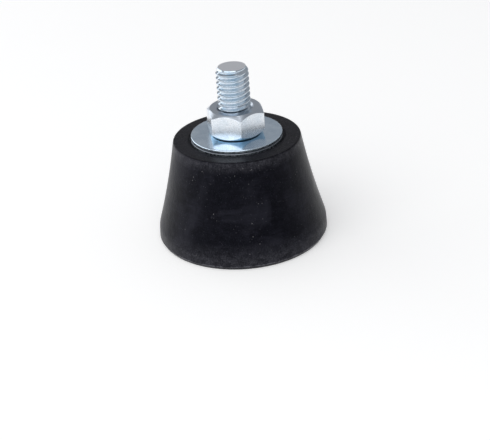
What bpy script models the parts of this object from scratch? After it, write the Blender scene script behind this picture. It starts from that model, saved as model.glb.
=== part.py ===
"""Tapered rubber foot with a threaded stud, a loose washer and a hex nut.

The rubber is moulded round two steel inserts. The upper one is a round plate
with a stud held under it by the stud's own head, and the lower one is a plate
with a tapped bush. The washer and the nut are the only loose pieces.

Units are metres and +Z is up. The origin is the centre of the base face, and
the stud's axis is the Z axis.
"""
import math

import bmesh
import bpy

MM = 0.001

# ---------------------------------------------------------------- driving sizes
THREAD_PITCH = 1.25 * MM
THREAD_RADIUS = 3.95 * MM
THREAD_CLEARANCE = 0.10 * MM
THREAD_SEGMENTS = 32

RUBBER_HEIGHT = 25.5 * MM
RUBBER_TOP_RADIUS = 15.5 * MM
RUBBER_BASE_RADIUS = 21.0 * MM
LAND_HEIGHT = 3.6 * MM
LAND_TAPER = 0.15 * MM
BASE_BEVEL_WIDTH = 0.5 * MM
BASE_BEVEL_HEIGHT = 0.9 * MM
TOP_RIM_ROUND = 0.5 * MM
FLANK_HOLLOW = 0.35 * MM
FLANK_STEPS = 8

TOP_PLATE_RADIUS = 11.1 * MM
TOP_PLATE_THICKNESS = 2.0 * MM
TOP_PLATE_STANDS_OUT = 0.15 * MM
STUD_HOLE_RADIUS = 4.3 * MM

STUD_HEAD_RADIUS = 7.5 * MM
STUD_HEAD_HEIGHT = 3.2 * MM
STUD_STANDS_OUT = 17.9 * MM
STUD_END_RADIUS = 3.3 * MM
STUD_END_ANGLE = math.radians(58)

WASHER_RADIUS = 11.1 * MM
WASHER_THICKNESS = 0.8 * MM
WASHER_HOLE_RADIUS = 4.3 * MM

NUT_ACROSS_FLATS = 12.8 * MM
NUT_HEIGHT = 6.5 * MM
NUT_TURN = math.radians(8.5)
NUT_CHAMFER_RADIUS = 6.0 * MM
NUT_CHAMFER_ANGLE = math.radians(42)
COUNTERSINK_RADIUS = 4.5 * MM

BASE_PLATE_RADIUS = 17.5 * MM
BASE_PLATE_THICKNESS = 2.0 * MM
BASE_PLATE_RECESS = 0.4 * MM
BASE_PLATE_HOLE_RADIUS = 6.3 * MM
BUSH_RADIUS = 6.0 * MM
BUSH_COLLAR_RADIUS = 8.0 * MM
BUSH_COLLAR_HEIGHT = 2.5 * MM
BUSH_TOP = 12.4 * MM
TAPPED_DEPTH = 8.6 * MM
DRILLED_DEPTH = 10.0 * MM
DRILL_TIP_ANGLE = math.radians(59)

BOND_GAP = 0.3 * MM
REST_GAP = 0.15 * MM
NUT_GAP = 0.15 * MM
EDGE = 0.25 * MM
ROUND_SEGMENTS = 64

# ------------------------------------------------------------- derived heights
TOP_PLATE_TOP = RUBBER_HEIGHT + TOP_PLATE_STANDS_OUT
TOP_PLATE_BOTTOM = TOP_PLATE_TOP - TOP_PLATE_THICKNESS
STUD_HEAD_TOP = TOP_PLATE_BOTTOM - REST_GAP
STUD_HEAD_BOTTOM = STUD_HEAD_TOP - STUD_HEAD_HEIGHT
STUD_TOP = RUBBER_HEIGHT + STUD_STANDS_OUT
WASHER_BOTTOM = TOP_PLATE_TOP + REST_GAP
WASHER_TOP = WASHER_BOTTOM + WASHER_THICKNESS
NUT_BOTTOM = WASHER_TOP + NUT_GAP
NUT_TOP = NUT_BOTTOM + NUT_HEIGHT
BASE_PLATE_BOTTOM = BASE_PLATE_RECESS
BASE_PLATE_TOP = BASE_PLATE_BOTTOM + BASE_PLATE_THICKNESS
BUSH_COLLAR_BOTTOM = BASE_PLATE_TOP + REST_GAP
BUSH_COLLAR_TOP = BUSH_COLLAR_BOTTOM + BUSH_COLLAR_HEIGHT


def clear_scene():
    """Remove what the file holds, so that the part stands alone."""
    for obj in list(bpy.data.objects):
        bpy.data.objects.remove(obj, do_unlink=True)


def make_material(name, color, roughness, metallic):
    """Return a plain Principled material."""
    material = bpy.data.materials.new(name)
    material.use_nodes = True
    shader = material.node_tree.nodes["Principled BSDF"]
    shader.inputs["Base Color"].default_value = (*color, 1.0)
    shader.inputs["Roughness"].default_value = roughness
    shader.inputs["Metallic"].default_value = metallic
    material.diffuse_color = (*color, 1.0)
    return material


def add_object(name, mesh_builder, material=None):
    """Turn a bmesh into an object; one with no material is a guide or cutter."""
    bmesh.ops.recalc_face_normals(mesh_builder, faces=mesh_builder.faces)
    mesh = bpy.data.meshes.new(name)
    mesh_builder.to_mesh(mesh)
    mesh_builder.free()
    mesh.shade_smooth()
    mesh.set_sharp_from_angle(angle=math.radians(30))
    obj = bpy.data.objects.new(name, mesh)
    bpy.context.scene.collection.objects.link(obj)
    if material is None:
        obj.hide_render = True
        obj.display_type = "WIRE"
    else:
        mesh.materials.append(material)
    return obj


def combine(obj, other, operation, touches_itself=False):
    """Add an exact Boolean of obj with other.

    A long thread form touches itself along its seam, and then needs the
    slower test for such meshes.
    """
    modifier = obj.modifiers.new(other.name, "BOOLEAN")
    modifier.operation = operation
    modifier.solver = "EXACT"
    modifier.use_self = touches_itself
    modifier.object = other


def turn(outline, closed, segments=ROUND_SEGMENTS):
    """Turn (radius, height) points about the Z axis.

    A closed outline gives a ring. An open one starts and ends on the axis and
    gives a solid.
    """
    builder = bmesh.new()
    rings = []
    for radius, height in outline:
        if radius == 0.0:
            rings.append([builder.verts.new((0.0, 0.0, height))])
            continue
        ring = []
        for step in range(segments):
            angle = 2.0 * math.pi * step / segments
            ring.append(builder.verts.new((radius * math.cos(angle), radius * math.sin(angle), height)))
        rings.append(ring)
    pairs = list(zip(rings, rings[1:]))
    if closed:
        pairs.append((rings[-1], rings[0]))
    for lower, upper in pairs:
        for step in range(segments):
            following = (step + 1) % segments
            corners = [lower[step % len(lower)], lower[following % len(lower)],
                       upper[following % len(upper)], upper[step % len(upper)]]
            builder.faces.new(list(dict.fromkeys(corners)))
    return builder


def arc(center_radius, center_height, radius, start, end, steps):
    """Return points on an arc, angles in radians measured from +radius."""
    points = []
    for step in range(steps + 1):
        angle = start + (end - start) * step / steps
        points.append((center_radius + radius * math.cos(angle), center_height + radius * math.sin(angle)))
    return points


def disc_outline(outer, inner, bottom, top, edge):
    """Return a washer's section, its two outer edges broken by a small bevel."""
    return [(inner, bottom), (outer - edge, bottom), (outer, bottom + edge),
            (outer, top - edge), (outer - edge, top), (inner, top)]


def thread_form(major_radius, bottom, turns):
    """Return a right-hand threaded bar that starts near bottom.

    Every form starts a whole number of pitches above the origin, so that two
    threads on the same axis are always in step. One pitch holds a flat crest,
    a flank, a flat root and a flank, and the ends are closed with a fan.
    """
    start = math.floor(bottom / THREAD_PITCH) * THREAD_PITCH
    crest = THREAD_PITCH / 8.0
    flank = THREAD_PITCH * 5.0 / 16.0
    depth = flank / math.tan(math.radians(30))
    one_pitch = [(0.0, major_radius), (crest, major_radius), (crest + flank, major_radius - depth),
                 (THREAD_PITCH - flank, major_radius - depth)]
    per_pitch = len(one_pitch)
    last = per_pitch * turns
    builder = bmesh.new()
    columns = []
    for step in range(THREAD_SEGMENTS):
        angle = 2.0 * math.pi * step / THREAD_SEGMENTS
        rise = start + THREAD_PITCH * step / THREAD_SEGMENTS
        count = last + 1 + (per_pitch if step == 0 else 0)
        column = []
        for index in range(count):
            offset, radius = one_pitch[index % per_pitch]
            height = rise + offset + THREAD_PITCH * (index // per_pitch)
            column.append(builder.verts.new((radius * math.cos(angle), radius * math.sin(angle), height)))
        columns.append(column)
    columns.append(columns[0][per_pitch:])
    for left, right in zip(columns, columns[1:]):
        for index in range(last):
            builder.faces.new((left[index], right[index], right[index + 1], left[index + 1]))
    seam = columns[0]
    bottom_rim = [column[0] for column in columns] + seam[per_pitch - 1:0:-1]
    top_rim = [column[last] for column in columns] + seam[last + per_pitch - 1:last:-1]
    bottom_tip = builder.verts.new((0.0, 0.0, start - THREAD_PITCH))
    top_tip = builder.verts.new((0.0, 0.0, start + THREAD_PITCH * (turns + 2)))
    for rim, tip in ((bottom_rim, bottom_tip), (top_rim, top_tip)):
        for index, corner in enumerate(rim):
            builder.faces.new((corner, rim[(index + 1) % len(rim)], tip))
    return builder


def flank_points():
    """Return the rubber's outer side from the base up, slightly hollow between its ends."""
    low = (RUBBER_BASE_RADIUS - LAND_TAPER, LAND_HEIGHT)
    slope = math.atan2(low[0] - RUBBER_TOP_RADIUS, RUBBER_HEIGHT - low[1])
    corner = TOP_RIM_ROUND * math.tan((math.pi / 2.0 - slope) / 2.0)
    rim_center = (RUBBER_TOP_RADIUS - corner, RUBBER_HEIGHT - TOP_RIM_ROUND)
    rim = arc(*rim_center, TOP_RIM_ROUND, slope, math.pi / 2.0, 3)
    points = [(RUBBER_BASE_RADIUS - BASE_BEVEL_WIDTH, 0.0), (RUBBER_BASE_RADIUS, BASE_BEVEL_HEIGHT)]
    for step in range(FLANK_STEPS):
        share = step / FLANK_STEPS
        hollow = FLANK_HOLLOW * 4.0 * share * (1.0 - share)
        radius = low[0] + (rim[0][0] - low[0]) * share - hollow
        points.append((radius, low[1] + (rim[0][1] - low[1]) * share))
    return points + rim


def make_rubber_body(material):
    """Rubber with a stepped pocket at the base and another under the top face."""
    bush_pocket = BUSH_RADIUS + BOND_GAP
    collar_pocket = BUSH_COLLAR_RADIUS + BOND_GAP
    base_pocket = BASE_PLATE_RADIUS + BOND_GAP
    plate_pocket = TOP_PLATE_RADIUS + BOND_GAP
    head_pocket = STUD_HEAD_RADIUS + BOND_GAP
    outline = [(0.0, BUSH_TOP + BOND_GAP), (bush_pocket, BUSH_TOP + BOND_GAP),
               (bush_pocket, BUSH_COLLAR_TOP + BOND_GAP), (collar_pocket, BUSH_COLLAR_TOP + BOND_GAP),
               (collar_pocket, BASE_PLATE_TOP + BOND_GAP), (base_pocket, BASE_PLATE_TOP + BOND_GAP),
               (base_pocket, 0.0)]
    outline += flank_points()
    outline += [(plate_pocket + EDGE, RUBBER_HEIGHT), (plate_pocket, RUBBER_HEIGHT - EDGE),
                (plate_pocket, TOP_PLATE_BOTTOM - BOND_GAP), (head_pocket, TOP_PLATE_BOTTOM - BOND_GAP),
                (head_pocket, STUD_HEAD_BOTTOM - BOND_GAP), (0.0, STUD_HEAD_BOTTOM - BOND_GAP)]
    return add_object("rubber_body", turn(outline, closed=False), material)


def make_top_plate(material):
    """Bonded steel disc that the stud stands in."""
    section = disc_outline(TOP_PLATE_RADIUS, STUD_HOLE_RADIUS, TOP_PLATE_BOTTOM, TOP_PLATE_TOP, EDGE)
    return add_object("top_plate", turn(section, closed=True), material)


def make_threaded_stud(material):
    """Threaded bar cut to length, with the round head that keeps it under the plate."""
    thread_bottom = STUD_HEAD_TOP - STUD_HEAD_HEIGHT / 2.0
    turns = math.ceil((STUD_TOP - thread_bottom) / THREAD_PITCH) + 2
    stud = add_object("threaded_stud", thread_form(THREAD_RADIUS, thread_bottom, turns), material)
    blank_radius = THREAD_RADIUS + 2.0 * EDGE
    chamfer = (blank_radius - STUD_END_RADIUS) * math.tan(STUD_END_ANGLE)
    length = [(0.0, thread_bottom), (blank_radius, thread_bottom), (blank_radius, STUD_TOP - chamfer),
              (STUD_END_RADIUS, STUD_TOP), (0.0, STUD_TOP)]
    cut_to_length = add_object("stud_length", turn(length, closed=False, segments=60))
    combine(stud, cut_to_length, "INTERSECT", touches_itself=True)
    head = [(0.0, STUD_HEAD_BOTTOM), (STUD_HEAD_RADIUS - EDGE, STUD_HEAD_BOTTOM),
            (STUD_HEAD_RADIUS, STUD_HEAD_BOTTOM + EDGE), (STUD_HEAD_RADIUS, STUD_HEAD_TOP - EDGE),
            (STUD_HEAD_RADIUS - EDGE, STUD_HEAD_TOP), (0.0, STUD_HEAD_TOP)]
    combine(stud, add_object("stud_head", turn(head, closed=False, segments=48)), "UNION")
    return stud


def make_flat_washer(material):
    """Loose washer on the stud, between the plate and the nut."""
    section = disc_outline(WASHER_RADIUS, WASHER_HOLE_RADIUS, WASHER_BOTTOM, WASHER_TOP, EDGE / 2.0)
    return add_object("flat_washer", turn(section, closed=True), material)


def make_hex_nut(material):
    """Hexagon chamfered at both ends, tapped right through and countersunk."""
    builder = bmesh.new()
    corner_radius = NUT_ACROSS_FLATS / math.sqrt(3.0)
    bmesh.ops.create_cone(builder, cap_ends=True, segments=6, radius1=corner_radius,
                          radius2=corner_radius, depth=NUT_HEIGHT)
    nut = add_object("hex_nut", builder, material)
    nut.location.z = (NUT_BOTTOM + NUT_TOP) / 2.0
    nut.rotation_euler.z = NUT_TURN
    reach = corner_radius + 4.0 * EDGE
    fall = (reach - NUT_CHAMFER_RADIUS) * math.tan(NUT_CHAMFER_ANGLE)
    form = [(0.0, NUT_BOTTOM), (NUT_CHAMFER_RADIUS, NUT_BOTTOM), (reach, NUT_BOTTOM + fall),
            (reach, NUT_TOP - fall), (NUT_CHAMFER_RADIUS, NUT_TOP), (0.0, NUT_TOP)]
    combine(nut, add_object("nut_chamfer", turn(form, closed=False, segments=72)), "INTERSECT")
    turns = math.ceil(NUT_HEIGHT / THREAD_PITCH) + 3
    tap = thread_form(THREAD_RADIUS + THREAD_CLEARANCE, NUT_BOTTOM - 2.0 * THREAD_PITCH, turns)
    combine(nut, add_object("nut_tap", tap), "DIFFERENCE")
    throat = THREAD_RADIUS * 0.75
    sink = COUNTERSINK_RADIUS - throat
    mouths = [(0.0, NUT_BOTTOM - sink), (COUNTERSINK_RADIUS + sink, NUT_BOTTOM - sink),
              (throat, NUT_BOTTOM + sink), (throat, NUT_TOP - sink),
              (COUNTERSINK_RADIUS + sink, NUT_TOP + sink), (0.0, NUT_TOP + sink)]
    combine(nut, add_object("nut_countersinks", turn(mouths, closed=False)), "DIFFERENCE")
    return nut


def make_base_plate(material):
    """Bonded steel disc just inside the base face, with a hole for the bush."""
    section = disc_outline(BASE_PLATE_RADIUS, BASE_PLATE_HOLE_RADIUS, BASE_PLATE_BOTTOM, BASE_PLATE_TOP, EDGE)
    return add_object("base_plate", turn(section, closed=True), material)


def make_tapped_bush(material):
    """Closed-end bush that takes a fixing screw from below."""
    section = [(0.0, BASE_PLATE_BOTTOM), (BUSH_RADIUS, BASE_PLATE_BOTTOM), (BUSH_RADIUS, BUSH_COLLAR_BOTTOM),
               (BUSH_COLLAR_RADIUS, BUSH_COLLAR_BOTTOM), (BUSH_COLLAR_RADIUS, BUSH_COLLAR_TOP),
               (BUSH_RADIUS, BUSH_COLLAR_TOP), (BUSH_RADIUS, BUSH_TOP - EDGE), (BUSH_RADIUS - EDGE, BUSH_TOP),
               (0.0, BUSH_TOP)]
    bush = add_object("tapped_bush", turn(section, closed=False, segments=48), material)
    turns = round((TAPPED_DEPTH + 2.0 * THREAD_PITCH) / THREAD_PITCH)
    tap = thread_form(THREAD_RADIUS + THREAD_CLEARANCE, BASE_PLATE_BOTTOM - 2.0 * THREAD_PITCH, turns)
    combine(bush, add_object("bush_tap", tap), "DIFFERENCE")
    drill_radius = THREAD_RADIUS * 0.84
    drill_end = BASE_PLATE_BOTTOM + DRILLED_DEPTH
    mouth = COUNTERSINK_RADIUS - drill_radius
    drill = [(0.0, BASE_PLATE_BOTTOM - mouth), (COUNTERSINK_RADIUS + mouth, BASE_PLATE_BOTTOM - mouth),
             (drill_radius, BASE_PLATE_BOTTOM + mouth), (drill_radius, drill_end),
             (0.0, drill_end + drill_radius / math.tan(DRILL_TIP_ANGLE))]
    combine(bush, add_object("bush_drill", turn(drill, closed=False, segments=48)), "DIFFERENCE")
    return bush


def hold(parent_name, height, pieces):
    """Parent moving pieces to an empty on the stud's axis."""
    empty = bpy.data.objects.new(parent_name, None)
    empty.location.z = height
    bpy.context.scene.collection.objects.link(empty)
    for piece in pieces:
        piece.parent = empty
        piece.matrix_parent_inverse.identity()
        piece.location.z -= height
    return empty


clear_scene()
RUBBER = make_material("moulded_rubber", (0.02, 0.02, 0.023), 0.6, 0.0)
ZINC = make_material("zinc_plated_steel", (0.62, 0.66, 0.70), 0.3, 1.0)
STEEL = make_material("plain_steel", (0.35, 0.35, 0.36), 0.45, 1.0)

make_rubber_body(RUBBER)
make_top_plate(ZINC)
make_threaded_stud(ZINC)
make_base_plate(STEEL)
make_tapped_bush(STEEL)
hold("washer_axis", WASHER_BOTTOM, [make_flat_washer(ZINC)])
hold("nut_axis", NUT_BOTTOM, [make_hex_nut(ZINC)])
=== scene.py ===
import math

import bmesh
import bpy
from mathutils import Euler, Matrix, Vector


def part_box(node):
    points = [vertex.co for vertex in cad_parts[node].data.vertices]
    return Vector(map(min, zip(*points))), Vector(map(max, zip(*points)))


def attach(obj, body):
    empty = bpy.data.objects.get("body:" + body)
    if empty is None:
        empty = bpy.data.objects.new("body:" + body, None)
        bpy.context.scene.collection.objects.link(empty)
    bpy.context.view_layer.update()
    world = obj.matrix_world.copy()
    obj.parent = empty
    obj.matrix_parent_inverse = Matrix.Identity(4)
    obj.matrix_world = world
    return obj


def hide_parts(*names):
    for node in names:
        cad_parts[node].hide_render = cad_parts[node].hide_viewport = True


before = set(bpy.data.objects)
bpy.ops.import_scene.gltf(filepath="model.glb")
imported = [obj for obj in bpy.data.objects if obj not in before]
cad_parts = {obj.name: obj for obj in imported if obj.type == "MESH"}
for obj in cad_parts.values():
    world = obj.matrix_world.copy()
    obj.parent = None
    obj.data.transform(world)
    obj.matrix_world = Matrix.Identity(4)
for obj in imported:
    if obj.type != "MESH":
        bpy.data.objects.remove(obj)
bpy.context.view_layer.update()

# %% [markdown]
# A tapered rubber foot has seven pieces: moulded rubber, a bonded plate with a
# threaded stud, a loose washer and a hex nut on top, and a bonded plate with a
# tapped bush inside the wide end. The working model gives every place and size.
# This script makes the finished surfaces of the same pieces, and each of them
# rides on the body of the working model that it belongs to.

MM = 0.001


def span(node):
    """Return a node's outer radius, bottom and top in metres."""
    low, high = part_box(node)
    return high[0], low[2], high[2]


RUBBER_RADIUS, RUBBER_BOTTOM, RUBBER_TOP = span("rubber_body")
PLATE_RADIUS, PLATE_BOTTOM, PLATE_TOP = span("top_plate")
WASHER_RADIUS, WASHER_BOTTOM, WASHER_TOP = span("flat_washer")
_, NUT_BOTTOM, NUT_TOP = span("hex_nut")
STUD_HEAD_RADIUS, STUD_BOTTOM, STUD_TOP = span("threaded_stud")
BASE_PLATE_RADIUS, BASE_PLATE_BOTTOM, BASE_PLATE_TOP = span("base_plate")
BUSH_COLLAR_RADIUS, BUSH_BOTTOM, BUSH_TOP = span("tapped_bush")
print("overall height", round((STUD_TOP - RUBBER_BOTTOM) / MM, 2), "mm")

# %% [markdown]
# The camera stands a little under 0.3 m away and looks down on the foot, as a
# person does who holds a camera over a bench. It aims below the top of the
# rubber and is rolled a few degrees, so the foot leans slightly in the frame.

# %% Camera
CAMERA_DISTANCE = 0.2884
CAMERA_ELEVATION = math.radians(23.73)
CAMERA_TURN = math.radians(-0.09)
CAMERA_DROP = math.radians(-4.07)
CAMERA_ROLL = math.radians(-4.3)
LENS = 87.3

look_at = Vector((0.0, 0.0, RUBBER_TOP))
stand_off = Vector((0.0, -math.cos(CAMERA_ELEVATION), math.sin(CAMERA_ELEVATION))) * CAMERA_DISTANCE
camera = bpy.data.objects.new("camera", bpy.data.cameras.new("camera"))
bpy.context.scene.collection.objects.link(camera)
camera.location = look_at + stand_off
facing = (-stand_off).to_track_quat("-Z", "Y").to_matrix()
for axis, angle in (("Y", CAMERA_TURN), ("X", CAMERA_DROP), ("Z", CAMERA_ROLL)):
    facing = facing @ Euler([angle if axis == name else 0.0 for name in "XYZ"]).to_matrix()
camera.rotation_euler = facing.to_euler()
camera.data.lens = LENS
camera.data.clip_start = 0.01
bpy.context.scene.camera = camera
print("camera at", [round(value, 4) for value in camera.location])

# %% [markdown]
# Bright metal shows what stands round it, so the surroundings matter as much as
# the lamps. The floor is nearly white and glows a little, as a light table
# does, the room is a plain light grey, and soft panels stand in front, to the
# left and above. The plain Standard view keeps the white floor white. The
# floor lies a hair below the foot, so that the two never share a plane. Level
# faces such as the washer mirror the grey room and
# the nut's upright faces mirror the white floor.

# %% One helper that adds a node with its settings and links
def add_node(tree, kind, settings=None, inputs=None):
    """Add a node; an input value that is a socket becomes a link."""
    node = tree.nodes.new(kind)
    for name, value in (settings or {}).items():
        setattr(node, name, value)
    for name, value in (inputs or {}).items():
        if isinstance(value, bpy.types.NodeSocket):
            tree.links.new(value, node.inputs[name])
        else:
            node.inputs[name].default_value = value
    return node


def math_node(tree, operation, *values):
    """Return the result of a math node."""
    return add_node(tree, "ShaderNodeMath", {"operation": operation}, dict(enumerate(values))).outputs[0]


def linear(hex_color):
    """Turn an sRGB hex colour into a linear RGBA tuple."""
    channels = [int(hex_color[start:start + 2], 16) / 255.0 for start in (0, 2, 4)]
    low, gamma = 0.04045, 2.4
    return tuple(c / 12.92 if c <= low else ((c + 0.055) / 1.055) ** gamma for c in channels) + (1.0,)


# %% Floor, room and soft panels
FLOOR_SIDE = 4.0
ROOM_GREY = "adaeb1"
ROOM_STRENGTH = 0.92
FLOOR_GLOW = 0.31
FLOOR_DROP = 0.05 * MM
PANELS = (
    ("panel_front", (-0.45, -1.00, 0.85), (2.2, 1.5), 14.5),
    ("panel_left", (-0.90, 0.35, 0.28), (1.6, 0.55), 4.2),
    ("panel_top", (0.23, -0.37, 1.20), (0.20, 0.20), 0.3),
)

world = bpy.data.worlds.new("room")
world.use_nodes = True
background = world.node_tree.nodes["Background"]
background.inputs["Color"].default_value = linear(ROOM_GREY)
background.inputs["Strength"].default_value = ROOM_STRENGTH
bpy.context.scene.world = world
bpy.context.scene.view_settings.view_transform = "Standard"

builder = bmesh.new()
bmesh.ops.create_grid(builder, x_segments=1, y_segments=1, size=FLOOR_SIDE / 2.0)
floor = bpy.data.objects.new("floor", bpy.data.meshes.new("floor"))
builder.to_mesh(floor.data)
builder.free()
bpy.context.scene.collection.objects.link(floor)
floor_paint = bpy.data.materials.new("white_floor")
floor_paint.use_nodes = True
floor_shader = floor_paint.node_tree.nodes["Principled BSDF"]
floor_shader.inputs["Base Color"].default_value = linear("f5f5f4")
floor_shader.inputs["Roughness"].default_value = 0.6
floor_shader.inputs["Emission Color"].default_value = linear("ffffff")
floor_shader.inputs["Emission Strength"].default_value = FLOOR_GLOW
floor.data.materials.append(floor_paint)
floor.location.z = -FLOOR_DROP

for name, place, size, power in PANELS:
    lamp = bpy.data.lights.new(name, "AREA")
    lamp.shape = "RECTANGLE"
    lamp.size, lamp.size_y = size
    lamp.energy = power
    panel = bpy.data.objects.new(name, lamp)
    panel.location = place
    panel.rotation_euler = (look_at - Vector(place)).to_track_quat("-Z", "Y").to_euler()
    bpy.context.scene.collection.objects.link(panel)
print("soft panels", len(PANELS))

# %% [markdown]
# The rubber is black natural rubber with carbon black, pressed in a turned
# steel mould. Its skin is dull and a little uneven: the mould's turning marks
# run round it, the surface is mottled where it let go of the mould, and dust
# sits on it. A lighter band in broken patches runs just under the rim. Up from
# the base the colour is painted lighter in patches, a painted sheen of the white
# floor, and a thin painted highlight runs along the top of the base bevel. A thin
# near-black stripe down one side is a painted reflection of a dark strip.
# Rubber is a dielectric with an IOR near 1.52.

# %% Rubber
def new_material(name):
    """Return a material's tree, its shader and its object coordinates."""
    material = bpy.data.materials.new(name)
    material.use_nodes = True
    tree = material.node_tree
    where = add_node(tree, "ShaderNodeTexCoord").outputs["Object"]
    return material, tree, tree.nodes["Principled BSDF"], where


def ramp(tree, factor, stops):
    """Return the colour of a ramp with (position, RGBA) stops."""
    node = add_node(tree, "ShaderNodeValToRGB", inputs={"Fac": factor})
    elements = node.color_ramp.elements
    elements[0].position, elements[0].color = stops[0]
    elements[1].position, elements[1].color = stops[-1]
    for position, color in stops[1:-1]:
        elements.new(position).color = color
    return node.outputs["Color"]


def noise(tree, where, size, detail=2.0, roughness=0.5, distortion=0.0):
    """Return noise whose features are about size metres across."""
    node = add_node(tree, "ShaderNodeTexNoise", inputs={
        "Vector": where, "Scale": 1.0 / size, "Detail": detail,
        "Roughness": roughness, "Distortion": distortion})
    return node.outputs["Fac"]


def remap(tree, value, low, high, out_low, out_high):
    """Return value taken from low..high to out_low..out_high, clamped."""
    node = add_node(tree, "ShaderNodeMapRange", inputs={
        "Value": value, "From Min": low, "From Max": high, "To Min": out_low, "To Max": out_high})
    return node.outputs["Result"]


def blend_colors(tree, factor, first, second, mode="MIX"):
    """Return first mixed with second by factor."""
    node = add_node(tree, "ShaderNodeMix", {"data_type": "RGBA", "blend_type": mode},
                    {"Factor": factor, 6: first, 7: second})
    return node.outputs[2]


def stretched(tree, where, scale, turn=(0.0, 0.0, 0.0)):
    """Return the coordinates stretched and turned, for streaks."""
    node = add_node(tree, "ShaderNodeMapping", inputs={
        "Vector": where, "Scale": scale, "Rotation": turn})
    return node.outputs["Vector"]


CLOUD_SIZE = 9.0 * MM
MOTTLE_SIZE = 1.6 * MM
# Real grain is nearer 0.05 mm, and is drawn coarser so that it shows.
GRAIN_SIZE = 0.30 * MM
TURNING_SIZE = 0.32 * MM
# One radian of the wave that makes the rings, so they are 2.8 mm apart.
RING_RADIAN = 0.45 * MM
DUST_PATCH = 6.0 * MM
# A lighter band runs down the side from just under the rim. Up from the base the rubber is painted lighter, a
# painted sheen of the white floor.
RIM_BAND_DEPTH = 2.8 * MM
FLOOR_SHEEN_HEIGHT = 6.5 * MM
# Height of a thin painted highlight along the top of the base bevel.
BEVEL_HIGHLIGHT_HEIGHT = 0.9 * MM
# A thin near-black stripe down one side of the rubber is a painted reflection of a dark strip.
DARK_STRIPE_AZIMUTH = math.radians(-17.5)
DARK_STRIPE_CORE, DARK_STRIPE_WIDTH = 0.12 * MM, 0.30 * MM


def near(tree, value, middle, core, width):
    """Return 1 within core of middle, falling to 0 at width away."""
    away = math_node(tree, "ABSOLUTE", math_node(tree, "SUBTRACT", value, middle))
    return remap(tree, away, core, width, 1.0, 0.0)


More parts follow.
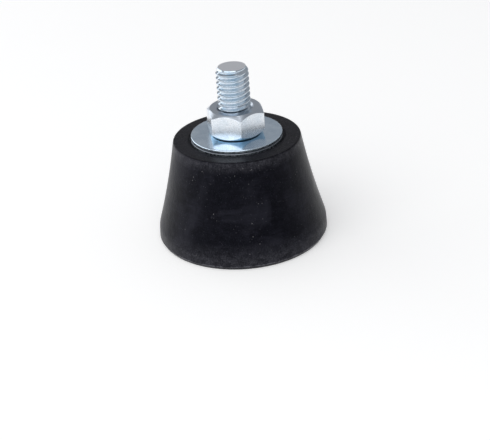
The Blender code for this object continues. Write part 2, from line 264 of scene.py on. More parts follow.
def make_rubber():
    """Dull black moulded rubber with clouds, turning marks and dust, a lighter band under the rim, painted
    sheen near the base, a painted highlight on the bevel edge and a painted dark reflection down one side.
    """
    material, tree, shader, where = new_material("moulded_black_rubber")
    place = add_node(tree, "ShaderNodeSeparateXYZ", inputs={"Vector": where}).outputs
    clouds = noise(tree, where, CLOUD_SIZE, detail=5.0, roughness=0.65, distortion=0.6)
    mottle = noise(tree, where, MOTTLE_SIZE, detail=4.0, roughness=0.7)
    grain = noise(tree, where, GRAIN_SIZE, detail=2.0, roughness=0.7)
    body = ramp(tree, clouds, [(0.30, linear("020205")), (0.50, linear("040408")), (0.68, linear("1a1a20"))])
    body = blend_colors(tree, remap(tree, mottle, 0.45, 0.75, 0.0, 0.6), body, linear("121219"))
    body = blend_colors(tree, remap(tree, grain, 0.60, 0.76, 0.0, 0.9), body, linear("26262e"))
    turning = noise(tree, stretched(tree, where, (0.07, 0.07, 1.0)), TURNING_SIZE, detail=2.0)
    marks = math_node(tree, "MULTIPLY", remap(tree, turning, 0.52, 0.70, 0.0, 0.45),
                      remap(tree, clouds, 0.42, 0.58, 0.2, 1.0))
    body = blend_colors(tree, marks, body, linear("1c1c24"))
    # Just under the rim and up from the base the colour turns lighter in broken patches; near the base this is
    # painted sheen, the white floor's reflection painted into the colour.
    under_rim = math_node(tree, "MULTIPLY",
                          remap(tree, place["Z"], RUBBER_TOP - RIM_BAND_DEPTH, RUBBER_TOP - 0.8 * MM, 0.0, 1.0),
                          remap(tree, place["Z"], RUBBER_TOP - 0.35 * MM, RUBBER_TOP - 0.05 * MM, 1.0, 0.1))
    painted_floor_sheen = remap(tree, place["Z"], RUBBER_BOTTOM + 1.5 * MM, RUBBER_BOTTOM + FLOOR_SHEEN_HEIGHT, 1.0, 0.0)
    patches = math_node(tree, "MULTIPLY", remap(tree, mottle, 0.38, 0.62, 0.35, 1.0),
                        remap(tree, grain, 0.38, 0.62, 0.25, 1.0))
    rim_band_and_floor_sheen = math_node(tree, "MULTIPLY", math_node(tree, "MAXIMUM", under_rim, painted_floor_sheen), patches)
    body = blend_colors(tree, rim_band_and_floor_sheen, body, linear("3c3c41"))
    on_top = math_node(tree, "MULTIPLY",
                       remap(tree, place["Z"], RUBBER_TOP - 0.15 * MM, RUBBER_TOP, 0.0, 0.8),
                       remap(tree, grain, 0.52, 0.68, 0.0, 1.0))
    body = blend_colors(tree, on_top, body, linear("3e3e43"))
    # A thin lighter line along the top of the base bevel is a painted highlight, broken by the mottle.
    line = math_node(tree, "MULTIPLY",
                     near(tree, place["Z"], RUBBER_BOTTOM + BEVEL_HIGHLIGHT_HEIGHT, 0.06 * MM, 0.20 * MM),
                     remap(tree, mottle, 0.42, 0.60, 0.1, 0.9))
    body = blend_colors(tree, line, body, linear("5a5a60"))
    for size, spread, brightest in ((0.7 * MM, 0.42, "4a4a4d"), (1.3 * MM, 0.52, "5c5b5c")):
        cells = add_node(tree, "ShaderNodeTexVoronoi", inputs={"Vector": where, "Scale": 1.0 / size})
        dust = remap(tree, cells.outputs["Distance"], 0.06, 0.12, 1.0, 0.0)
        sparse = remap(tree, noise(tree, where, DUST_PATCH), spread, spread + 0.08, 0.0, 1.0)
        body = blend_colors(tree, math_node(tree, "MULTIPLY", dust, sparse), body, linear(brightest))
    # A thin near-black stripe down the side, at one angle round the foot, is a painted reflection of a dark
    # strip.
    across = math_node(tree, "SUBTRACT", math_node(tree, "MULTIPLY", place["Y"], math.cos(DARK_STRIPE_AZIMUTH)),
                       math_node(tree, "MULTIPLY", place["X"], math.sin(DARK_STRIPE_AZIMUTH)))
    on_side = remap(tree, place["Z"], RUBBER_TOP - 4.0 * MM, RUBBER_TOP - 8.0 * MM, 0.0, 0.85)
    painted_dark_reflection = math_node(tree, "MULTIPLY", near(tree, across, 0.0, DARK_STRIPE_CORE, DARK_STRIPE_WIDTH), on_side)
    body = blend_colors(tree, painted_dark_reflection, body, linear("020203"))
    tree.links.new(body, shader.inputs["Base Color"])
    tree.links.new(remap(tree, clouds, 0.3, 0.7, 0.24, 0.42), shader.inputs["Roughness"])
    rings = add_node(tree, "ShaderNodeTexWave", {"wave_type": "BANDS", "bands_direction": "Z"},
                     {"Vector": where, "Scale": 1.0 / (20.0 * RING_RADIAN),
                      "Distortion": 1.5, "Detail": 1.0})
    height = math_node(tree, "MULTIPLY_ADD", rings.outputs["Fac"], 0.12, grain)
    fine = add_node(tree, "ShaderNodeBump", inputs={"Strength": 0.5, "Distance": 0.03 * MM, "Height": height})
    soft = add_node(tree, "ShaderNodeBump", inputs={
        "Strength": 0.6, "Distance": 0.12 * MM, "Height": mottle, "Normal": fine.outputs["Normal"]})
    tree.links.new(soft.outputs["Normal"], shader.inputs["Normal"])
    shader.inputs["IOR"].default_value = 1.52
    shader.inputs["Specular IOR Level"].default_value = 0.085
    shader.inputs["Specular Tint"].default_value = linear("e2e6ff")
    return material


RUBBER = make_rubber()

# %% [markdown]
# The steel is plated with zinc and dipped in a clear blue passivate. The plate
# is bright but not a mirror: it is a very light blue grey with faint cloudy
# patches where the dip is thicker, fine rub marks, and small dull spots. A
# rolled thread is a little deeper in colour than the flat faces. An edge that
# a press has sheared is torn and dull, and a face that a tool has cut across
# the axis is duller than one left from the bar. Metals keep the default IOR.

# %% Zinc plate
PASSIVATE_CLOUD = 4.0 * MM
# Zinc crystals are a few hundredths of a millimetre, and are drawn coarser so that they show.
CRYSTAL_SIZE = 0.22 * MM
RUB_SIZE = 0.4 * MM
TEAR_SIZE = 0.55 * MM
SHEARED_ROUGHNESS = 0.62
SHEARED_GREY = "43484e"
SHEARED_BRIGHT = "9aa2aa"


def make_zinc(name, color, tint, rough_low, rough_high, grain=0.12, sheared=False, faced=None, underside_reflection_blue=None):
    """Blue-white zinc plate on steel with clouds in the passivate, rub marks and dull spots.

    A sheared edge is torn and dull. Faced gives the colour, the roughness and
    the least slope of the faces that a tool has cut across the axis. The last
    argument is a deeper blue painted on the faces that look down, a painted
    reflection of the blue that the washer throws up under the nut.
    """
    material, tree, shader, where = new_material(name)
    clouds = noise(tree, where, PASSIVATE_CLOUD, detail=3.0, roughness=0.55, distortion=0.4)
    crystals = noise(tree, where, CRYSTAL_SIZE, detail=3.0, roughness=0.7)
    plate = blend_colors(tree, remap(tree, clouds, 0.35, 0.7, 0.0, 1.0), linear(color), linear(tint))
    plate = blend_colors(tree, remap(tree, crystals, 0.45, 0.8, 0.0, 0.5), plate, linear("8799a8"))
    rubs = noise(tree, stretched(tree, where, (0.06, 1.0, 1.0), (0.0, 0.0, 0.7)), RUB_SIZE, detail=2.0)
    dull = math_node(tree, "MULTIPLY_ADD", rubs, 0.5, crystals)
    roughness = remap(tree, dull, 0.4, 1.1, rough_low, rough_high)
    normal = add_node(tree, "ShaderNodeNewGeometry").outputs["Normal"]
    lean = add_node(tree, "ShaderNodeSeparateXYZ", inputs={"Vector": normal}).outputs["Z"]
    slope = math_node(tree, "ABSOLUTE", lean)
    if sheared:
        torn = remap(tree, slope, 0.02, 0.10, 1.0, 0.0)
        rips = remap(tree, noise(tree, where, TEAR_SIZE, detail=2.0), 0.42, 0.66, 0.0, 1.0)
        torn_roughness = math_node(tree, "MULTIPLY", torn, SHEARED_ROUGHNESS)
        roughness = math_node(tree, "MAXIMUM", roughness, torn_roughness)
        plate = blend_colors(tree, torn, plate,
                             blend_colors(tree, rips, linear(SHEARED_GREY), linear(SHEARED_BRIGHT)))
    if faced:
        face_color, face_roughness, least = faced
        level = remap(tree, slope, least, least + 0.06, 0.0, 1.0)
        roughness = math_node(tree, "MAXIMUM", roughness, math_node(tree, "MULTIPLY", level, face_roughness))
        plate = blend_colors(tree, level, plate, linear(face_color))
    # Faces that look down get a painted blue reflection.
    if underside_reflection_blue:
        plate = blend_colors(tree, remap(tree, lean, -0.35, -0.15, 1.0, 0.0), plate, linear(underside_reflection_blue))
    tree.links.new(roughness, shader.inputs["Roughness"])
    tree.links.new(plate, shader.inputs["Base Color"])
    height = math_node(tree, "MULTIPLY_ADD", rubs, 0.6, crystals)
    bump = add_node(tree, "ShaderNodeBump", inputs={
        "Strength": grain, "Distance": 0.01 * MM, "Height": height})
    tree.links.new(bump.outputs["Normal"], shader.inputs["Normal"])
    shader.inputs["Metallic"].default_value = 1.0
    return material


ZINC_WASHER = make_zinc("zinc_plated_washer", "d6e5f2", "c0d2e2", 0.13, 0.24, sheared=True)
# The nut's faces that look down carry a painted blue reflection.
ZINC_NUT = make_zinc("zinc_plated_nut", "f0f4f9", "d8e2ec", 0.20, 0.34, faced=("bcc4ce", 0.28, 0.35),
                     underside_reflection_blue="cde3ee")
ZINC_THREAD = make_zinc("zinc_plated_thread", "d4dce4", "abc1d2", 0.11, 0.22, grain=0.04,
                        faced=("f2f4f8", 0.42, 0.92))
ZINC_PLATE = make_zinc("zinc_plated_insert", "b4b9c0", "a0a8b2", 0.35, 0.55, sheared=True)
print("materials", len(bpy.data.materials))

# %% [markdown]
# Most pieces are turned or pressed round, so one Geometry Nodes tree makes them
# all. It takes a section drawn as points beside the axis, sets out a grid with
# one row for each point and one column for each step round, and wraps it round
# the axis. The seam and the points on the axis are merged, which closes it.
# A Screw modifier would do as well, but the tree keeps the rows in order.

# %% The tree that turns a section round the Z axis
def new_tree(name, sizes):
    """Return a Geometry Nodes tree with a geometry input, named inputs and a material input."""
    tree = bpy.data.node_groups.new(name, "GeometryNodeTree")
    sockets = [("Geometry", "INPUT", "NodeSocketGeometry"), ("Geometry", "OUTPUT", "NodeSocketGeometry")]
    sockets += [(label, "INPUT", kind) for label, kind in sizes]
    sockets += [("Material", "INPUT", "NodeSocketMaterial")]
    for label, in_out, kind in sockets:
        tree.interface.new_socket(name=label, in_out=in_out, socket_type=kind)
    return tree, add_node(tree, "NodeGroupInput"), add_node(tree, "NodeGroupOutput")


def wrap_grid(tree, given, rows, position, columns):
    """Set out a grid of rows by columns, move it to position, and close it."""
    grid = add_node(tree, "GeometryNodeMeshGrid", inputs={
        "Vertices X": math_node(tree, "ADD", columns, 1.0), "Vertices Y": rows})
    placed = add_node(tree, "GeometryNodeSetPosition", inputs={
        "Geometry": grid.outputs["Mesh"], "Position": position})
    merged = add_node(tree, "GeometryNodeMergeByDistance", inputs={
        "Geometry": placed.outputs["Geometry"], "Distance": 0.002 * MM})
    real = add_node(tree, "GeometryNodeRealizeInstances", inputs={"Geometry": merged.outputs["Geometry"]})
    return add_node(tree, "GeometryNodeSetMaterial", inputs={
        "Geometry": real.outputs["Geometry"], "Material": given.outputs["Material"]}).outputs["Geometry"]


def column_and_row(tree, rows):
    """Return each grid point's column and row numbers."""
    index = add_node(tree, "GeometryNodeInputIndex").outputs["Index"]
    column = math_node(tree, "FLOOR", math_node(tree, "DIVIDE", math_node(tree, "ADD", index, 0.5), rows))
    row = math_node(tree, "SUBTRACT", index, math_node(tree, "MULTIPLY", column, rows))
    return column, row


def section_point(tree, given, index):
    """Return the section's point with that number."""
    node = add_node(tree, "GeometryNodeSampleIndex", {"data_type": "FLOAT_VECTOR", "domain": "POINT"}, {
        "Geometry": given.outputs["Geometry"],
        "Value": add_node(tree, "GeometryNodeInputPosition").outputs["Position"],
        "Index": math_node(tree, "ROUND", index)})
    return node.outputs["Value"]


def build_turning_tree():
    """Wrap a section round the axis."""
    tree, given, result = new_tree("turned_section", [("Steps Round", "NodeSocketInt")])
    steps = given.outputs["Steps Round"]
    size = add_node(tree, "GeometryNodeAttributeDomainSize", inputs={"Geometry": given.outputs["Geometry"]})
    rows = size.outputs["Point Count"]
    column, row = column_and_row(tree, rows)
    angle = math_node(tree, "DIVIDE", math_node(tree, "MULTIPLY", column, 2.0 * math.pi), steps)
    wrapped = add_node(tree, "ShaderNodeVectorRotate", {"rotation_type": "Z_AXIS"}, {
        "Vector": section_point(tree, given, row), "Angle": angle})
    closed = wrap_grid(tree, given, rows, wrapped.outputs["Vector"], steps)
    tree.links.new(closed, result.inputs["Geometry"])
    return tree


TURNING = build_turning_tree()
print("turning tree nodes", len(TURNING.nodes))

# %% Helpers that run a tree and leave a plain mesh
def plain(obj):
    """Replace an object's modifiers by the mesh that they make."""
    depsgraph = bpy.context.evaluated_depsgraph_get()
    mesh = bpy.data.meshes.new_from_object(obj.evaluated_get(depsgraph), depsgraph=depsgraph)
    obj.modifiers.clear()
    obj.data = mesh
    return obj


def point_object(name, points):
    """Return an object whose mesh is only a list of points (radius, height)."""
    mesh = bpy.data.meshes.new(name)
    mesh.from_pydata([(radius, 0.0, height) for radius, height in points], [], [])
    obj = bpy.data.objects.new(name, mesh)
    bpy.context.scene.collection.objects.link(obj)
    return obj


def run_tree(obj, tree, values):
    """Run a tree on an object with its named inputs, and keep the result."""
    modifier = obj.modifiers.new(tree.name, "NODES")
    modifier.node_group = tree
    for item in tree.interface.items_tree:
        if item.in_out == "INPUT" and item.name in values:
            modifier[item.identifier] = values[item.name]
    return plain(obj)


def point_outwards(obj):
    """Make every face of a closed mesh point outwards, and shade it smooth."""
    builder = bmesh.new()
    builder.from_mesh(obj.data)
    bmesh.ops.dissolve_degenerate(builder, dist=0.0005 * MM, edges=builder.edges)
    bmesh.ops.recalc_face_normals(builder, faces=builder.faces)
    if builder.calc_volume(signed=True) < 0.0:
        bmesh.ops.reverse_faces(builder, faces=builder.faces)
    open_edges = sum(not edge.is_manifold for edge in builder.edges)
    builder.to_mesh(obj.data)
    builder.free()
    obj.data.shade_smooth()
    print(obj.name, "faces", len(obj.data.polygons), "open edges", open_edges)
    return obj


def rounded(corners, steps=4, support=0.12 * MM):
    """Round each corner (radius, height, fillet) and hold the straight runs flat.

    A short step beside each end of a straight run keeps smooth shading from
    bending the light across it.
    """
    points = []
    for index, (radius, height, fillet) in enumerate(corners):
        here = Vector((radius, height))
        ends = 0 < index < len(corners) - 1
        if not ends or fillet == 0.0:
            points.append(here)
            continue
        before = (Vector(corners[index - 1][:2]) - here)
        after = (Vector(corners[index + 1][:2]) - here)
        opening = before.angle(after)
        reach = min(fillet / math.tan(opening / 2.0), before.length * 0.48, after.length * 0.48)
        start, finish = here + before.normalized() * reach, here + after.normalized() * reach
        for step in range(steps + 1):
            share = step / steps
            points.append(start.lerp(here, share).lerp(here.lerp(finish, share), share))
    held = [points[0]]
    for first, second in zip(points, points[1:]):
        run = second - first
        if run.length > 4.0 * support:
            held += [first + run.normalized() * support, second - run.normalized() * support]
        held.append(second)
    return [tuple(point) for point in held]


def turned(name, corners, steps_round, material, steps=4):
    """Make a closed turned piece from its section's corners."""
    obj = point_object(name, rounded(corners, steps))
    run_tree(obj, TURNING, {"Steps Round": steps_round, "Material": material})
    return point_outwards(obj)


# %% [markdown]
# The rubber body is pressed in a mould round both inserts. Its side is a little
# hollow between a short upright land at the base and the top rim. The rubber
# falls away in a small lip round the top plate, where the mould sealed on the
# steel. The pockets behind the inserts follow the inserts, so the piece is true
# inside as well as outside.

# %% Rubber body
BOND = 0.3 * MM
TOP_RADIUS = 15.5 * MM
BEVEL_WIDTH = 0.5 * MM
BEVEL_HEIGHT = 0.9 * MM
LAND_HEIGHT = 3.6 * MM
LAND_TAPER = 0.15 * MM
SIDE_HOLLOW = 0.35 * MM
SIDE_STEPS = 14
BUSH_RADIUS = 6.0 * MM
COLLAR_TOP = 5.1 * MM
STUD_HEAD_HEIGHT = 3.2 * MM
LIP_WIDTH = 0.7 * MM
LIP_FALL = 0.4 * MM
LIP_GAP = 0.12 * MM


def rubber_side():
    """Return the side's corners from the land up to the rim."""
    low = Vector((RUBBER_RADIUS - LAND_TAPER, LAND_HEIGHT))
    high = Vector((TOP_RADIUS + 0.1 * MM, RUBBER_TOP - 0.5 * MM))
    corners = []
    for step in range(SIDE_STEPS + 1):
        share = step / SIDE_STEPS
        place = low.lerp(high, share)
        hollow = SIDE_HOLLOW * 4.0 * share * (1.0 - share)
        corners.append((place.x - hollow, place.y, 6.0 * MM if step == 0 else 0.0))
    return corners


def rubber_section():
    """Return the whole section, from the pocket over the bush round to the pocket under the stud."""
    bush = BUSH_RADIUS + BOND
    collar = BUSH_COLLAR_RADIUS + BOND
    base = BASE_PLATE_RADIUS + BOND
    plate = PLATE_RADIUS + BOND
    lip = PLATE_RADIUS + LIP_GAP
    head = STUD_HEAD_RADIUS + BOND
    soft = 0.2 * MM
    section = [(0.0, BUSH_TOP + BOND, 0.0), (bush, BUSH_TOP + BOND, soft), (bush, COLLAR_TOP + BOND, soft),
               (collar, COLLAR_TOP + BOND, soft), (collar, BASE_PLATE_TOP + BOND, soft),
               (base, BASE_PLATE_TOP + BOND, soft), (base, RUBBER_BOTTOM, 0.3 * MM),
               (RUBBER_RADIUS - BEVEL_WIDTH, RUBBER_BOTTOM, 0.15 * MM),
               (RUBBER_RADIUS, BEVEL_HEIGHT, 0.08 * MM)]
    section += rubber_side()
    section += [(TOP_RADIUS - 0.05 * MM, RUBBER_TOP, 0.8 * MM),
                (lip + LIP_WIDTH, RUBBER_TOP, 0.15 * MM),
                (lip + 0.35 * LIP_WIDTH, RUBBER_TOP - LIP_FALL, 0.3 * MM),
                (lip, RUBBER_TOP - 1.1 * LIP_FALL, 0.08 * MM), (lip, RUBBER_TOP - 2.0 * LIP_FALL, 0.1 * MM),
                (plate, RUBBER_TOP - 2.3 * LIP_FALL, 0.1 * MM),
                (plate, PLATE_BOTTOM - BOND, soft), (head, PLATE_BOTTOM - BOND, soft),
                (head, STUD_BOTTOM - BOND, soft), (0.0, STUD_BOTTOM - BOND, 0.0)]
    return section


rubber = turned("rubber_moulding", rubber_section(), 256, RUBBER)

# %% [markdown]
# The top plate, the washer and the base plate are blanked from sheet. A press
# leaves one face with a rolled edge and the other with a sharp one, so the
# upper edge of the washer catches a bright line of light.

# %% Plates and washer
STUD_HOLE = 4.3 * MM
BUSH_HOLE = 6.3 * MM
ROLLED_EDGE = 0.27 * MM
SHARP_EDGE = 0.06 * MM


def disc(name, outer, hole, bottom, top, rolled, material):
    """Blank a round plate with a hole and a rolled upper edge."""
    section = [(hole, (bottom + top) / 2.0, 0.0), (hole, bottom, SHARP_EDGE), (outer, bottom, SHARP_EDGE),
               (outer, top, rolled), (hole, top, rolled / 2.0), (hole, (bottom + top) / 2.0, 0.0)]
    return turned(name, section, 192, material)


top_plate = disc("bonded_top_plate", PLATE_RADIUS, STUD_HOLE, PLATE_BOTTOM, PLATE_TOP, 0.12 * MM, ZINC_PLATE)
washer = disc("plated_washer", WASHER_RADIUS, STUD_HOLE, WASHER_BOTTOM, WASHER_TOP, ROLLED_EDGE, ZINC_WASHER)
base_plate = disc("bonded_base_plate", BASE_PLATE_RADIUS, BUSH_HOLE, BASE_PLATE_BOTTOM, BASE_PLATE_TOP,
                  0.15 * MM, ZINC_PLATE)

# %% [markdown]
# A thread is one profile that climbs by a pitch in each turn, which is a rule,
# so a second Geometry Nodes tree makes it. The rows run up the bar, the columns
# run round it, and each column stands a little higher than the last. After one
# turn it has climbed one pitch and meets itself. The thread is rolled, so its
# crests and roots are rounded.

# %% The tree that winds a thread
def build_thread_tree():
    """Wind a one-pitch profile up the axis, right-handed."""
    tree, given, result = new_tree("rolled_thread", [
        ("Steps Round", "NodeSocketInt"), ("Turns", "NodeSocketInt"),
        ("Pitch", "NodeSocketFloat"), ("Start", "NodeSocketFloat")])
    steps, turns = given.outputs["Steps Round"], given.outputs["Turns"]
    size = add_node(tree, "GeometryNodeAttributeDomainSize", inputs={"Geometry": given.outputs["Geometry"]})
    per_pitch = size.outputs["Point Count"]
    rows = math_node(tree, "MULTIPLY_ADD", per_pitch, turns, 1.0)
    column, row = column_and_row(tree, rows)
    whole = math_node(tree, "FLOOR", math_node(tree, "DIVIDE", math_node(tree, "ADD", row, 0.5), per_pitch))
    index = math_node(tree, "SUBTRACT", row, math_node(tree, "MULTIPLY", whole, per_pitch))
    share = math_node(tree, "DIVIDE", column, steps)
    climbed = math_node(tree, "MULTIPLY_ADD", math_node(tree, "ADD", whole, share),
                        given.outputs["Pitch"], given.outputs["Start"])
    lift = add_node(tree, "ShaderNodeCombineXYZ", inputs={"Z": climbed}).outputs["Vector"]
    raised = add_node(tree, "ShaderNodeVectorMath", {"operation": "ADD"}, {
        0: section_point(tree, given, index), 1: lift}).outputs["Vector"]
    wound = add_node(tree, "ShaderNodeVectorRotate", {"rotation_type": "Z_AXIS"}, {
        "Vector": raised, "Angle": math_node(tree, "MULTIPLY", share, 2.0 * math.pi)})
    closed = wrap_grid(tree, given, rows, wound.outputs["Vector"], steps)
    tree.links.new(closed, result.inputs["Geometry"])
    return tree


THREAD = build_thread_tree()
PITCH = 1.25 * MM
THREAD_RADIUS = 3.95 * MM
THREAD_CLEARANCE = 0.10 * MM


def thread_profile(radius):
    """Return one pitch of a 60 degree thread with a rounded crest and root."""
    crest, flank = PITCH / 8.0, PITCH * 5.0 / 16.0
    depth = flank / math.tan(math.radians(30))
    root = radius - depth
    corners = [(root, -flank - PITCH / 8.0, 0.0), (root, -flank, 0.14 * MM), (radius, 0.0, 0.07 * MM),
               (radius, crest, 0.07 * MM), (root, crest + flank, 0.14 * MM),
               (root, crest + flank + PITCH / 8.0, 0.0)]
    return rounded(corners, steps=4, support=1.0)[:-1]


def thread_bar(name, radius, bottom, turns, steps_round, material):
    """Wind a closed threaded bar that starts a whole number of pitches above the base."""
    start = math.floor(bottom / PITCH) * PITCH
    bar = point_object(name, thread_profile(radius))
    run_tree(bar, THREAD, {"Steps Round": steps_round, "Turns": turns, "Pitch": PITCH,
                           "Start": start, "Material": material})
    builder = bmesh.new()
    builder.from_mesh(bar.data)
    open_edges = {edge for edge in builder.edges if edge.is_boundary}
    while open_edges:
        loop = []
        edge = open_edges.pop()
        corner = edge.verts[0]
        first = edge.verts[1]
        loop.append((first, corner))
        while corner is not first:
            edge = next(link for link in corner.link_edges if link in open_edges)
            open_edges.discard(edge)
            following = edge.other_vert(corner)
            loop.append((corner, following))
            corner = following
        middle = sum(pair[0].co.z for pair in loop) / len(loop)
        away = -2.0 * PITCH if middle < start + turns * PITCH / 2.0 else 2.0 * PITCH
        tip = builder.verts.new((0.0, 0.0, middle + away))
        for pair in loop:
            builder.faces.new((*pair, tip))
    builder.to_mesh(bar.data)
    builder.free()
    return point_outwards(bar)


def carve(obj, tool, operation):
    """Combine obj with a tool piece, which is then removed."""
    modifier = obj.modifiers.new(tool.name, "BOOLEAN")
    modifier.operation = operation
    modifier.solver = "MANIFOLD"
    modifier.object = tool
    plain(obj)
    bpy.data.objects.remove(tool)
    return obj


# %% [markdown]
# The stud is cut from threaded bar and chamfered at its free end. Its round
# head sits under the top plate inside the rubber. The bar is wound first, then
# cut by the shape of a blank, and the head is joined to it.

# %% Stud
STUD_END_RADIUS = 3.3 * MM
STUD_END_ANGLE = math.radians(58)
BLANK_RADIUS = THREAD_RADIUS + 0.5 * MM
HEAD_TOP = STUD_BOTTOM + STUD_HEAD_HEIGHT


def make_stud():
    """Thread, cut to length and chamfered, with its head."""
    inside_head = HEAD_TOP - STUD_HEAD_HEIGHT / 2.0
    turns = math.ceil((STUD_TOP - inside_head) / PITCH) + 2
    stud = thread_bar("plated_stud", THREAD_RADIUS, inside_head, turns, 96, ZINC_THREAD)
    fall = (BLANK_RADIUS - STUD_END_RADIUS) * math.tan(STUD_END_ANGLE)
    blank = turned("stud_blank", [(0.0, inside_head, 0.0), (BLANK_RADIUS, inside_head, 0.0),
                                  (BLANK_RADIUS, STUD_TOP - fall, 0.0), (STUD_END_RADIUS, STUD_TOP, 0.05 * MM),
                                  (0.0, STUD_TOP, 0.0)], 150, ZINC_THREAD)
    carve(stud, blank, "INTERSECT")
    edge = 0.3 * MM
    head = turned("stud_head", [(0.0, STUD_BOTTOM, 0.0), (STUD_HEAD_RADIUS, STUD_BOTTOM, edge),
                                (STUD_HEAD_RADIUS, HEAD_TOP, edge), (0.0, HEAD_TOP, 0.0)], 90, ZINC_THREAD)
    return point_outwards(carve(stud, head, "UNION"))


stud = make_stud()

# %% [markdown]
# A hex nut is forged or turned from hexagonal bar. A cone cut at each end
# takes the corners off and leaves a curved edge on every flat, because a cone
# meets a flat in an arc. Each upright line of this nut is worked out from that
# rule: how far out the hexagon is there says how low the cone has fallen.

# %% Nut
NUT_ACROSS_FLATS = 12.8 * MM
NUT_TURN = math.radians(8.5)
NUT_CHAMFER_RADIUS = 6.0 * MM
NUT_CHAMFER_ANGLE = math.radians(42)
NUT_EDGE = 0.09 * MM
NUT_CORNER_ROUND = 0.18 * MM
COUNTERSINK_RADIUS = 4.5 * MM


def hexagon_outline():
    """Return points round a hexagon with slightly rounded corners."""
    flat = NUT_ACROSS_FLATS / 2.0
    half = flat * math.tan(math.radians(30))
    outline = []
    for side in range(6):
        normal = NUT_TURN + math.radians(60 * side)
        straight = half - NUT_CORNER_ROUND * math.tan(math.radians(30))
        for step in range(-8, 9):
            along = straight * math.sin(math.radians(90 * step / 8.0))
            outline.append((flat * math.cos(normal) - along * math.sin(normal),
                            flat * math.sin(normal) + along * math.cos(normal)))
        corner = (flat - NUT_CORNER_ROUND) / math.cos(math.radians(30))
        middle = normal + math.radians(30)
        for step in range(1, 6):
            turn = normal + math.radians(60 * step / 6.0)
            outline.append((corner * math.cos(middle) + NUT_CORNER_ROUND * math.cos(turn),
                            corner * math.sin(middle) + NUT_CORNER_ROUND * math.sin(turn)))
    return outline


def nut_half(reach, half_height):
    """Return (radius, height above the middle) up one upright line, from the side to the end face."""
    fall = (reach - NUT_CHAMFER_RADIUS) * math.tan(NUT_CHAMFER_ANGLE)
    shoulder = half_height - fall
    corners = [(reach, 0.0, 0.0), (reach, shoulder, NUT_EDGE), (NUT_CHAMFER_RADIUS, half_height, NUT_EDGE),
               (COUNTERSINK_RADIUS * 0.5, half_height, 0.0)]
    points = []
    for index, (radius, height, fillet) in enumerate(corners):
        here = Vector((radius, height))
        if fillet == 0.0:
            points.append(here)
            continue
        before = (Vector(corners[index - 1][:2]) - here).normalized() * fillet
        after = (Vector(corners[index + 1][:2]) - here).normalized() * fillet
        points.append(here + before * 2.0)
        points += [(here + before * (1.0 - t) ** 2) + after * t ** 2 for t in (0.0, 0.25, 0.5, 0.75, 1.0)]
        if index == 2:
            points.append(here + after * 2.0)
    return points


def make_nut():
    """Hexagon with a cone at each end, then tapped and countersunk."""
    half_height = (NUT_TOP - NUT_BOTTOM) / 2.0
    middle = (NUT_TOP + NUT_BOTTOM) / 2.0
    builder = bmesh.new()
    columns = []
    for x, y in hexagon_outline():
        reach = math.hypot(x, y)
        upper = nut_half(reach, half_height)
        line = [(radius, -height) for radius, height in reversed(upper[1:])] + [tuple(p) for p in upper]
        columns.append([builder.verts.new((radius * x / reach, radius * y / reach, middle + height))
                        for radius, height in line])
    for first, second in zip(columns, columns[1:] + columns[:1]):
        for row in range(len(first) - 1):
            builder.faces.new((first[row], second[row], second[row + 1], first[row + 1]))
    builder.faces.new([column[0] for column in columns])
    builder.faces.new([column[-1] for column in columns])
    nut = bpy.data.objects.new("plated_nut", bpy.data.meshes.new("plated_nut"))
    builder.to_mesh(nut.data)
    builder.free()
    nut.data.materials.append(ZINC_NUT)
    bpy.context.scene.collection.objects.link(nut)
    point_outwards(nut)
    turns = math.ceil((NUT_TOP - NUT_BOTTOM) / PITCH) + 3
    tap = thread_bar("tap", THREAD_RADIUS + THREAD_CLEARANCE, NUT_BOTTOM - 2.0 * PITCH, turns, 96, ZINC_NUT)
    carve(nut, tap, "DIFFERENCE")
    throat = THREAD_RADIUS * 0.75
    sink = COUNTERSINK_RADIUS - throat
    mouths = turned("mouths", [(0.0, NUT_BOTTOM - sink, 0.0),
                               (COUNTERSINK_RADIUS + sink, NUT_BOTTOM - sink, 0.0),
                               (throat, NUT_BOTTOM + sink, 0.0), (throat, NUT_TOP - sink, 0.0),
                               (COUNTERSINK_RADIUS + sink, NUT_TOP + sink, 0.0), (0.0, NUT_TOP + sink, 0.0)],
                    110, ZINC_NUT)
    return point_outwards(carve(nut, mouths, "DIFFERENCE"))


nut = make_nut()

# %% [markdown]
# The bush is turned from bar, with a collar that the rubber grips, and a blind
# hole drilled and tapped from below.

# %% Tapped bush
TAPPED_DEPTH = 8.6 * MM
DRILLED_DEPTH = 10.0 * MM
DRILL_RADIUS = THREAD_RADIUS * 0.84
DRILL_TIP_ANGLE = math.radians(59)
COLLAR_BOTTOM = 2.6 * MM


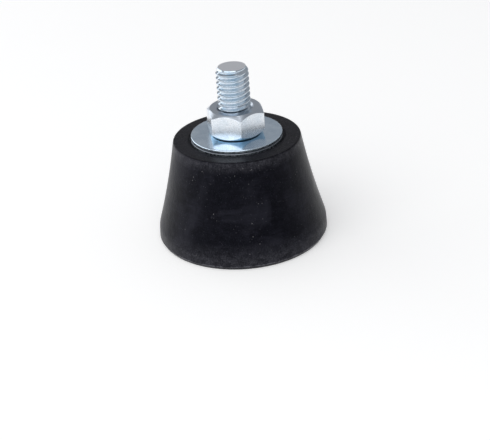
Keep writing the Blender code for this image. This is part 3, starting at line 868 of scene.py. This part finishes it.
def make_bush():
    """Collared bush with a tapped blind hole."""
    edge = 0.25 * MM
    bush = turned("tapped_insert", [(0.0, BUSH_BOTTOM, 0.0), (BUSH_RADIUS, BUSH_BOTTOM, 0.1 * MM),
                                    (BUSH_RADIUS, COLLAR_BOTTOM, 0.1 * MM),
                                    (BUSH_COLLAR_RADIUS, COLLAR_BOTTOM, edge),
                                    (BUSH_COLLAR_RADIUS, COLLAR_TOP, edge), (BUSH_RADIUS, COLLAR_TOP, 0.1 * MM),
                                    (BUSH_RADIUS, BUSH_TOP, edge), (0.0, BUSH_TOP, 0.0)], 96, ZINC_PLATE)
    turns = round((TAPPED_DEPTH + 2.0 * PITCH) / PITCH)
    carve(bush, thread_bar("bush_tap", THREAD_RADIUS + THREAD_CLEARANCE, BUSH_BOTTOM - 2.0 * PITCH, turns, 64,
                           ZINC_PLATE), "DIFFERENCE")
    end = BUSH_BOTTOM + DRILLED_DEPTH
    mouth = COUNTERSINK_RADIUS - DRILL_RADIUS
    drill = turned("drill", [(0.0, BUSH_BOTTOM - mouth, 0.0),
                             (COUNTERSINK_RADIUS + mouth, BUSH_BOTTOM - mouth, 0.0),
                             (DRILL_RADIUS, BUSH_BOTTOM + mouth, 0.0), (DRILL_RADIUS, end, 0.0),
                             (0.0, end + DRILL_RADIUS / math.tan(DRILL_TIP_ANGLE), 0.0)], 90, ZINC_PLATE)
    return point_outwards(carve(bush, drill, "DIFFERENCE"))


bush = make_bush()

# %% [markdown]
# Turned and pressed pieces have both soft and crisp edges. Edges that turn more
# than a set angle are marked sharp, so that the flats stay flat in the light.
# Each piece then keeps one material, and rides on the body that it belongs to.

# %% Sharp edges, bodies and finishes
SHARP_ANGLE = math.radians(32)
PIECES = (
    (rubber, "foot", "rubber_body", "moulded_rubber"),
    (top_plate, "foot", "top_plate", "zinc_plate"),
    (stud, "foot", "threaded_stud", "zinc_thread"),
    (base_plate, "foot", "base_plate", "insert_steel"),
    (bush, "foot", "tapped_bush", "insert_steel"),
    (washer, "washer", "flat_washer", "zinc_washer"),
    (nut, "nut", "hex_nut", "zinc_nut"),
)


def keep_one_material(obj):
    """Leave one slot for all the faces, because a tree or a tool can leave an empty one."""
    coat = next(material for material in obj.data.materials if material)
    obj.data.materials.clear()
    obj.data.materials.append(coat)
    for face in obj.data.polygons:
        face.material_index = 0


for piece, body, node, finish in PIECES:
    keep_one_material(piece)
    piece.data.set_sharp_from_angle(angle=SHARP_ANGLE)
    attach(piece, body)
    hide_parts(node)
    print(piece.name, "rides on", body)
